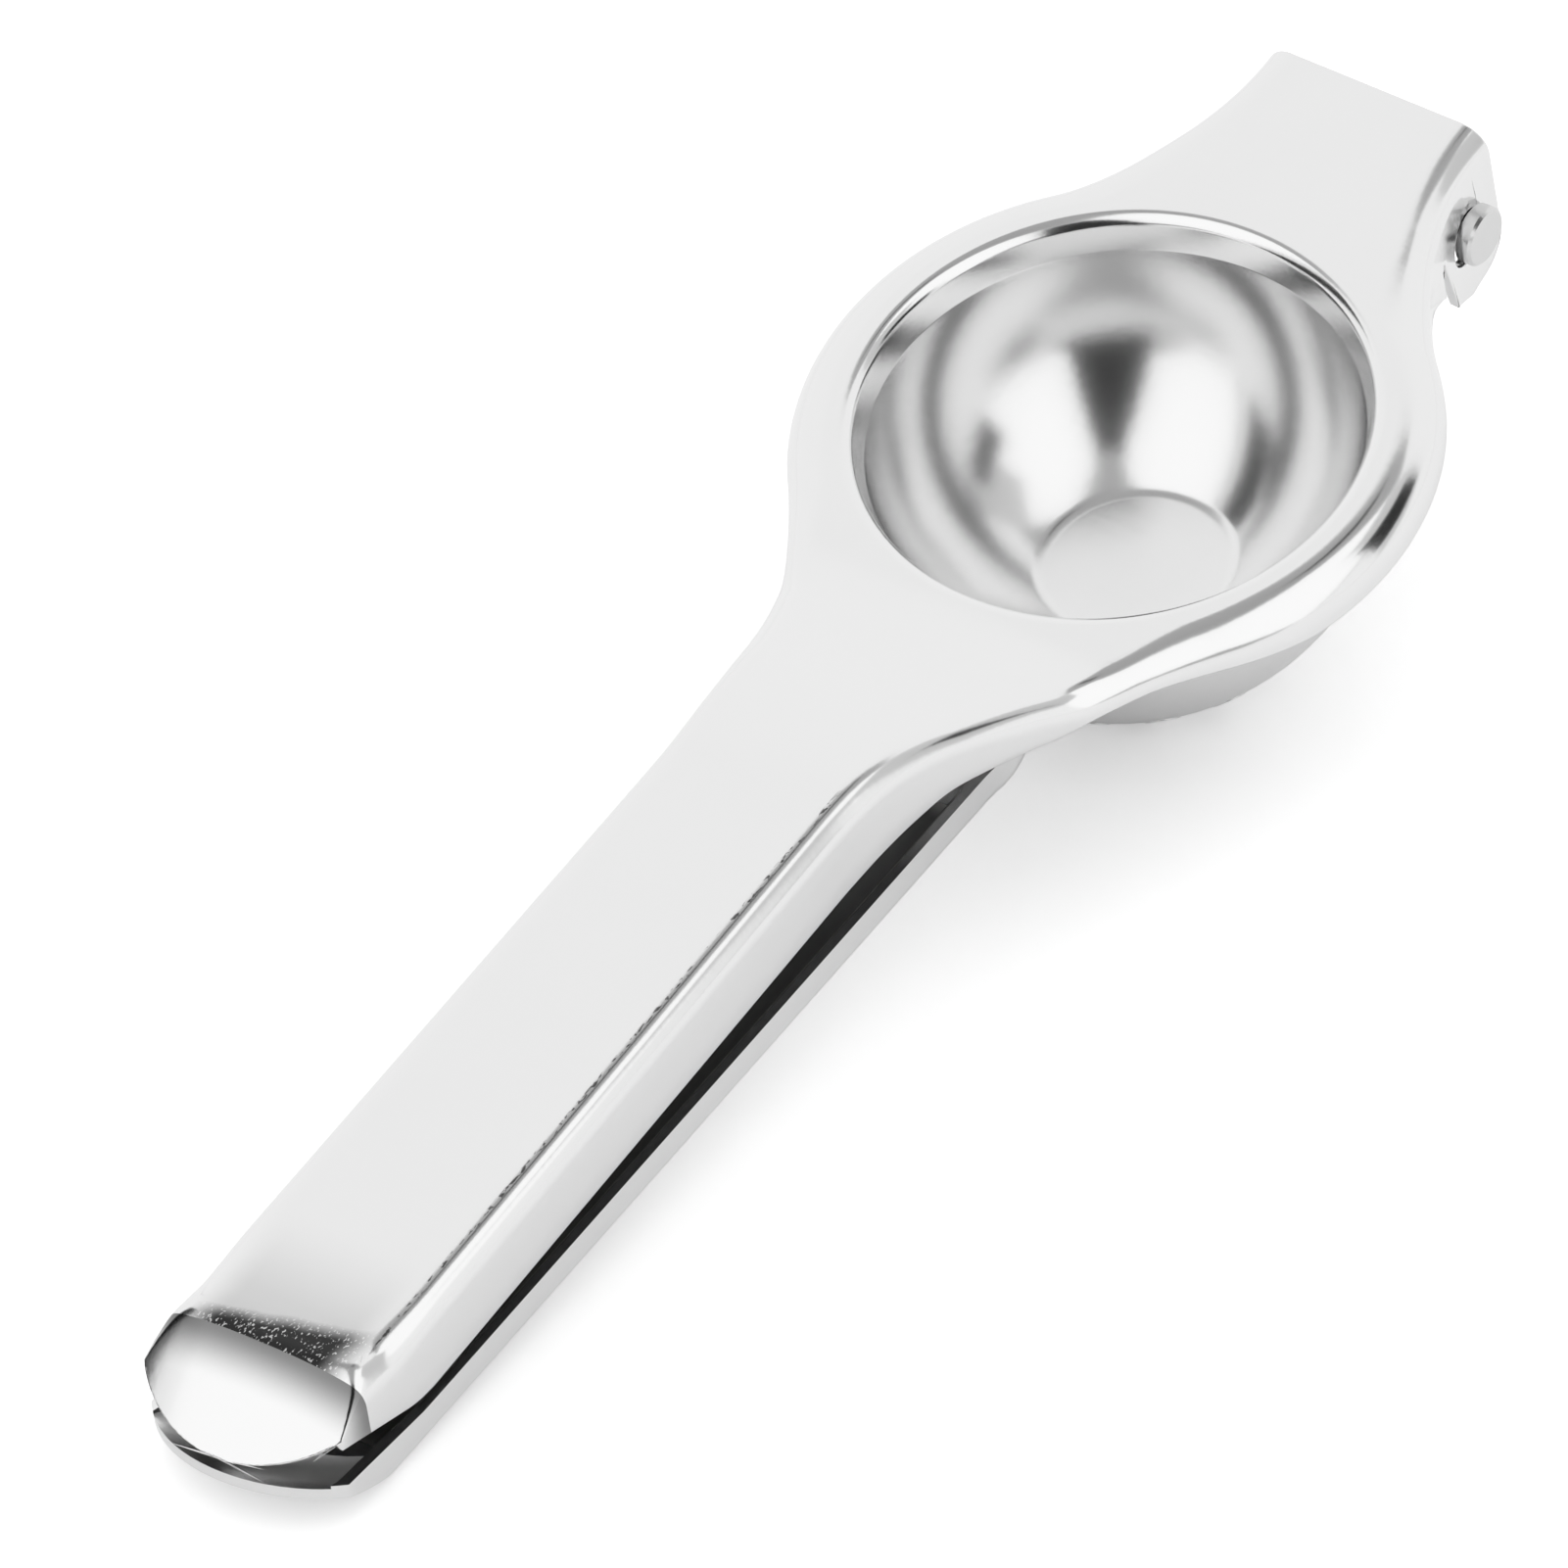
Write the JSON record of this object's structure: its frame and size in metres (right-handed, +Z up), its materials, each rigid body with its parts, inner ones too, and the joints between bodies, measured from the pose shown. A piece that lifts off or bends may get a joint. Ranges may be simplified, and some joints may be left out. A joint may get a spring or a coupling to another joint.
{
  "type": "hinged lemon squeezer",
  "caption": "Hinged hand squeezer for citrus: a pressed steel lever with a cup folds into a lever with a perforated bowl, on one riveted pin.",
  "frame": {"origin": "middle of the footprint on the table the closed squeezer lies on", "axes": "+X along the levers towards the hinge, +Y across them, +Z up; the ring's plane is tilted 11.4 degrees, hinge end up"},
  "size_m": [0.2166, 0.067, 0.0419],
  "materials": {
    "press_sheet": "satin",
    "strainer_sheet": "satin",
    "pin": "polished"
  },
  "bodies": {
    "strainer": {"strainer_lever": "strainer_sheet", "hinge_pin": "pin"},
    "press": {"press_lever": "press_sheet"}
  },
  "joints": [
    {"name": "lever_hinge", "type": "hinge", "parent": "strainer", "child": "press", "pos_m": [0.10034, 0, 0.03145], "axis": [0, 1, 0], "range_deg": [0, 110]}
  ]
}
